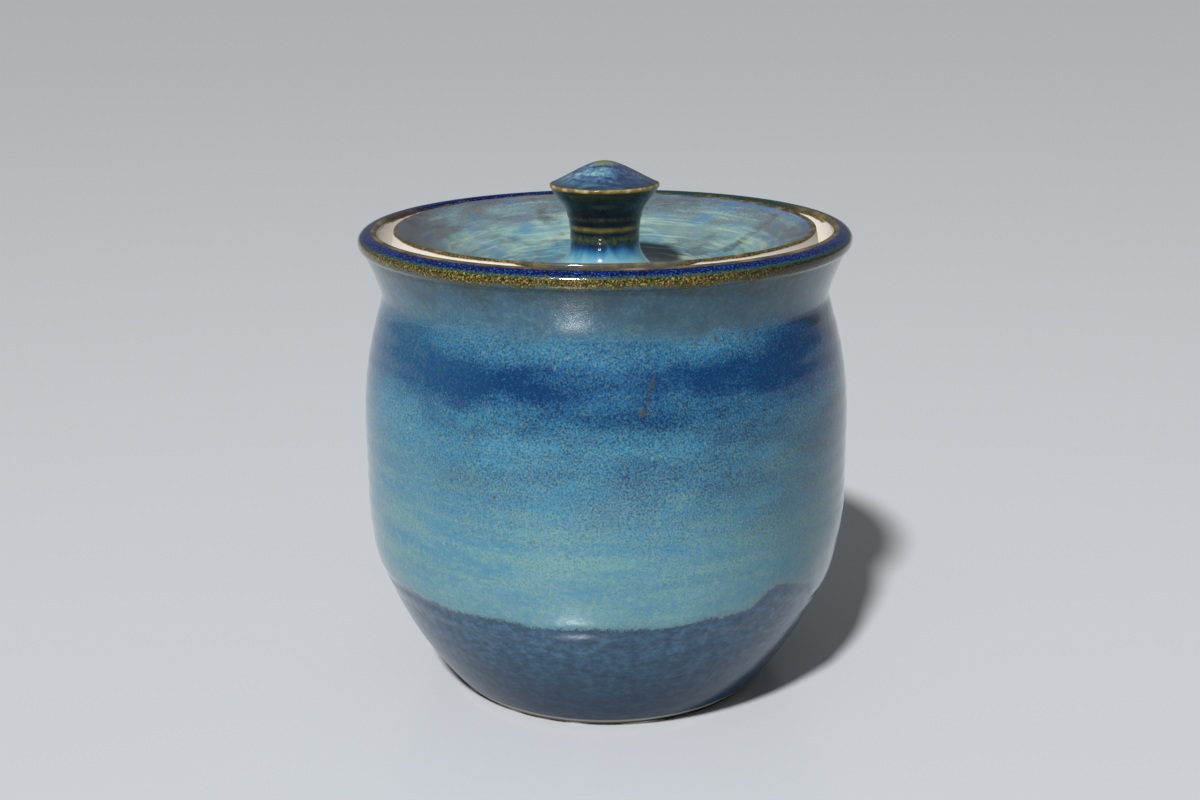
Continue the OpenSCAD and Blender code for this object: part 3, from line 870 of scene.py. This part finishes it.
def paint_knob(tree, place):
    """Pale blue runs at the base, a near black neck with olive rings, and a blue cap with a gold edge."""
    height, radius, outward = wheel_coordinates(tree, place)
    rightward = add(tree, "ShaderNodeSeparateXYZ", {0: outward}).outputs["X"]
    # Runs about 2 mm wide that hang down the neck, and streaks 9 mm long across the cap
    hanging, drawn = (
        add(tree, "ShaderNodeVectorMath", {0: place, 1: scales}, operation="MULTIPLY")
        for scales in ((1 / 2, 1 / 2, 1 / 9), (1 / 9, 1 / 2.5, 1 / 2.5))
    )
    runs = add(tree, "ShaderNodeTexNoise", {"Vector": hanging, "Scale": 1.0, "Detail": 4.0})
    streaks = add(
        tree, "ShaderNodeTexNoise",
        {"Vector": drawn, "Scale": 1.0, "Detail": 4.0, "Roughness": 0.55, "Distortion": 0.2},
    )
    tints = add(tree, "ShaderNodeTexNoise", {"Vector": place, "Scale": 1 / 3, "Detail": 4.0})
    specks = add(tree, "ShaderNodeTexNoise", {"Vector": place, "Scale": 1 / 1.1, "Detail": 3.0})
    hang = stirred(tree, height, (runs, 4.0))
    stem_bands = (
        (0.0, "#98b8b2"), (3.4, "#84adb2"), (5.0, "#679bae"), (6.4, "#3d7a9e"), (7.4, "#1a4670"),
        (8.2, "#0a2142"), (9.2, "#06122c"), (14.0, "#03091a"), (19.0, "#050d10"), (21.0, "#2e3418"),
    )
    stem = add(
        tree, "ShaderNodeValToRGB",
        {"Fac": add(tree, "ShaderNodeMapRange", {"Value": hang, "From Min": dish_z, "From Max": cap_z})},
        stops=[(z / (cap_z - dish_z), code) for z, code in stem_bands],
    )
    # The lowest ring is broad and mottled, the middle one clear, the top one faint
    olive_rings = []
    for z, wide, strength, pattern, code in (
        (ring_zs[0], 1.5, 1.2, specks, "#4c5a34"), (ring_zs[1], 0.9, 1.5, tints, "#77702e"),
        (ring_zs[2], 0.8, 0.7, specks, "#5c5426"),
    ):
        off = add(tree, "ShaderNodeMath", {0: height, 1: z}, operation="SUBTRACT")
        off = add(tree, "ShaderNodeMath", {0: off}, operation="ABSOLUTE")
        broken = add(tree, "ShaderNodeMapRange", {"Value": pattern, "From Min": 0.25, "From Max": 0.75})
        olive_rings.append((patches(tree, off, wide, 0.0, strength, broken), code))
    # The cap is violet on one side, darkens to green above its edge and breaks to olive on its tip
    crown = add(
        tree, "ShaderNodeValToRGB", {"Fac": stirred(tree, streaks, (specks, 0.7))},
        stops=[(0.3, "#2a3c58"), (0.44, "#426080"), (0.56, "#5b829c"), (0.7, "#8fb2ae")],
    )
    sunk = stirred(tree, radius, (specks, 8.0))
    violet, rim_dark, on_cap, above_under = (
        add(
            tree, "ShaderNodeMapRange",
            {"Value": level, "From Min": start, "From Max": full, "To Max": most},
        )
        for level, start, full, most in (
            (rightward, 0.2, 0.9, 0.7), (sunk, cap_r - 3.6, cap_r - 1.2, 0.75),
            (height, cap_top_z - 0.1, cap_top_z + 0.2, 1.0), (height, cap_z - 0.05, cap_z + 0.25, 1.0),
        )
    )
    tip = patches(tree, radius, 4.2, 1.0, 2.0, tints)
    crown = lay_glazes(tree, crown, ((violet, "#3a4068"), (rim_dark, "#1d3644"), (tip, "#7a7834")))
    edge = patches(tree, radius, cap_r - 0.5, cap_r - 0.3, 1.0, above_under)
    gold = add(
        tree, "ShaderNodeValToRGB", {"Fac": tints},
        stops=[(0.36, "#574820"), (0.5, "#8a7038"), (0.66, "#ccb47c")],
    )
    return lay_glazes(tree, stem, (*olive_rings, (on_cap, crown), (edge, gold)))


knob = throw(
    "mushroom_knob",
    section_mesh("knob_section", [(knob_foot, True, 0.0), (neck, True, 0.0), (cap, True, 0.0)]),
    segments=160, ring_pitch=2.5 * MM, ring_depth=0.0, wobble=0.002, glaze_step=0.0, seed=11.0,
    finish=glazed_stoneware("dark_knob_glaze", paint_knob, ragged_by=0.0, peel_depth=0.015),
)
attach(knob, "lid_with_knob")
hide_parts("lid_knob")

# Stage
# A wide pale floor with a satin face, a soft key lamp high at the front left, and a dome of fill light.
floor_half = 8.0
floor_mesh = bpy.data.meshes.new("floor")
floor_mesh.from_pydata(
    [(x, y, 0) for x, y in ((-1, -1), (1, -1), (1, 1), (-1, 1))], [], [(0, 1, 2, 3)]
)
floor_mesh.transform(Matrix.Scale(floor_half, 4))
floor = bpy.data.objects.new("floor", floor_mesh)
bpy.context.collection.objects.link(floor)
satin = bpy.data.materials.new("satin_painted_board")
satin.use_nodes = True
satin_shader = satin.node_tree.nodes["Principled BSDF"]
satin_shader.inputs["Base Color"].default_value = colour("#dcdfe3")
satin_shader.inputs["Roughness"].default_value = 0.24
satin_shader.inputs["IOR"].default_value = 1.7
satin_shader.inputs["Specular IOR Level"].default_value = 1.0
floor_mesh.materials.append(satin)

key_way = Vector((-0.29, -0.82, 1.0)).normalized()
key = bpy.data.objects.new("key_lamp", bpy.data.lights.new("key_lamp", "SUN"))
key.data.energy = 3.6
key.data.angle = math.radians(5)
key.rotation_mode = "QUATERNION"
key.rotation_quaternion = key_way.to_track_quat("Z", "Y")
bpy.context.collection.objects.link(key)

world = bpy.data.worlds.new("dome_fill")
world.use_nodes = True
dome = world.node_tree
sky = add(dome, "ShaderNodeSeparateXYZ", {0: add(dome, "ShaderNodeTexCoord").outputs["Generated"]})
sky = add(
    dome, "ShaderNodeMapRange", {"Value": sky.outputs["Z"], "To Min": 0.13, "To Max": 0.15}
)
dome.nodes["Background"].inputs["Color"].default_value = (0.95, 0.98, 1.0, 1.0)
dome.links.new(sky.outputs[0], dome.nodes["Background"].inputs["Strength"])
bpy.context.scene.world = world
bpy.context.scene.view_settings.view_transform = "Standard"

# Camera
# Close and a little above the rim, looking down at the belly, as the photograph was taken.
camera = bpy.data.objects.new("camera", bpy.data.cameras.new("camera"))
camera.data.sensor_width = 36.0
camera.data.lens = 48.0
camera_place = Vector((-1.5, -387.3, 180.5)) * MM
camera_down = math.radians(15.92)
camera_roll = math.radians(-0.43)
camera.matrix_world = (
    Matrix.Translation(camera_place)
    @ Matrix.Rotation(math.pi / 2 - camera_down, 4, "X")
    @ Matrix.Rotation(camera_roll, 4, "Z")
)
camera.data.clip_start = 0.01
bpy.context.collection.objects.link(camera)
bpy.context.scene.camera = camera
